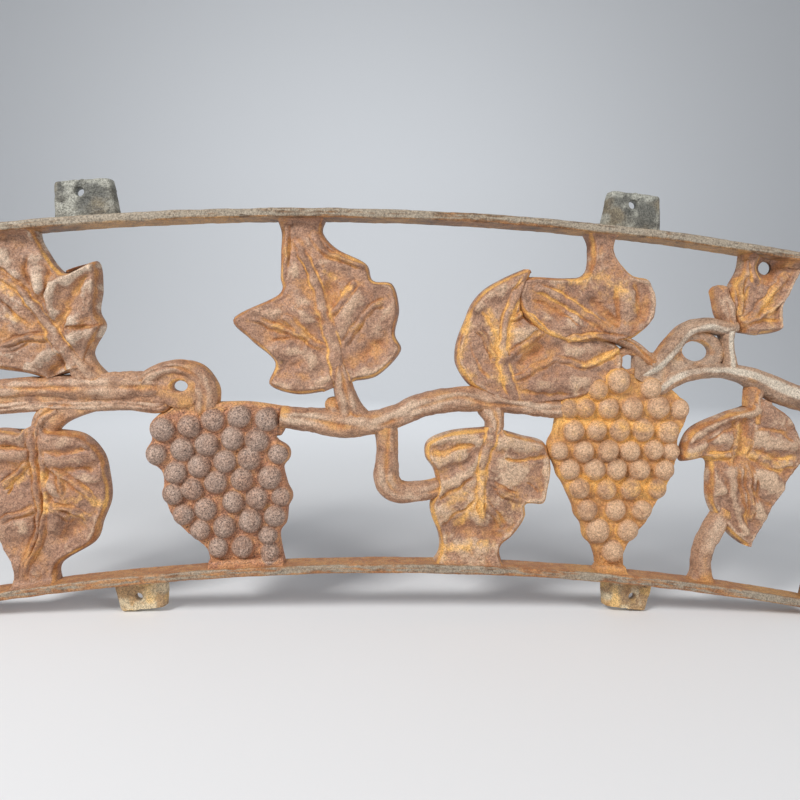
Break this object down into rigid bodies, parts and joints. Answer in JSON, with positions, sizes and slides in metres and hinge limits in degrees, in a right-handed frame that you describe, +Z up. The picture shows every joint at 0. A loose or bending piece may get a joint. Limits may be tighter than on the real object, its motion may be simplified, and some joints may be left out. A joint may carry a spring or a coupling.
{
  "type": "arched grapevine frieze",
  "caption": "Arched openwork cast-iron hearth panel: two curved rails with screw lugs, and a flat-backed grapevine of stems, leaves and grape bunches in relief between them.",
  "frame": {"origin": "middle of the bottom rail's flat back, at the panel's centre line", "axes": "+X along the panel to the right as seen from the front, +Z up, -Y out of the relief; the flat back lies in the plane y = 0"},
  "size_m": [0.8692, 0.022, 0.3692],
  "materials": {
    "rail_iron": "bare cast iron, grey-beige patina over brown rust",
    "lug_iron": "grey-green aged cast iron with cream and black speckles",
    "stem_iron": "grey-brown cast iron, cream where bare, orange rust in the channels",
    "grape_iron": "mauve-brown cast iron, grey crowns, orange rust between the grapes",
    "leaf_iron": "mauve-brown cast iron mottled with orange-yellow rust along veins and edges"
  },
  "bodies": {
    "root": {"top_rail": "rail_iron", "bottom_rail": "rail_iron", "left_end_bar": "rail_iron", "right_end_bar": "rail_iron", "top_left_lug": "lug_iron", "top_right_lug": "lug_iron", "bottom_left_lug": "lug_iron", "bottom_right_lug": "lug_iron", "center_vine": "stem_iron", "left_vine": "stem_iron", "lower_left_vine": "stem_iron", "tendril_loop": "stem_iron", "hooked_branch": "stem_iron", "right_lower_vine": "stem_iron", "right_upper_vine": "stem_iron", "vine_link": "stem_iron", "pruned_stub": "stem_iron", "right_stem": "stem_iron", "upper_left_stalk": "stem_iron", "lower_left_stalk": "stem_iron", "top_center_stalk": "stem_iron", "lower_center_stalk": "stem_iron", "upper_right_stalk": "stem_iron", "lower_right_stalk": "stem_iron", "bud_stub": "stem_iron", "left_grapes": "grape_iron", "right_grapes": "grape_iron", "upper_left_leaf": "leaf_iron", "lower_left_leaf": "leaf_iron", "top_center_leaf": "leaf_iron", "broad_left_leaf": "leaf_iron", "broad_right_leaf": "leaf_iron", "lower_center_leaf": "leaf_iron", "small_folded_leaf": "leaf_iron", "lower_right_leaf": "leaf_iron"}
  },
  "joints": []
}
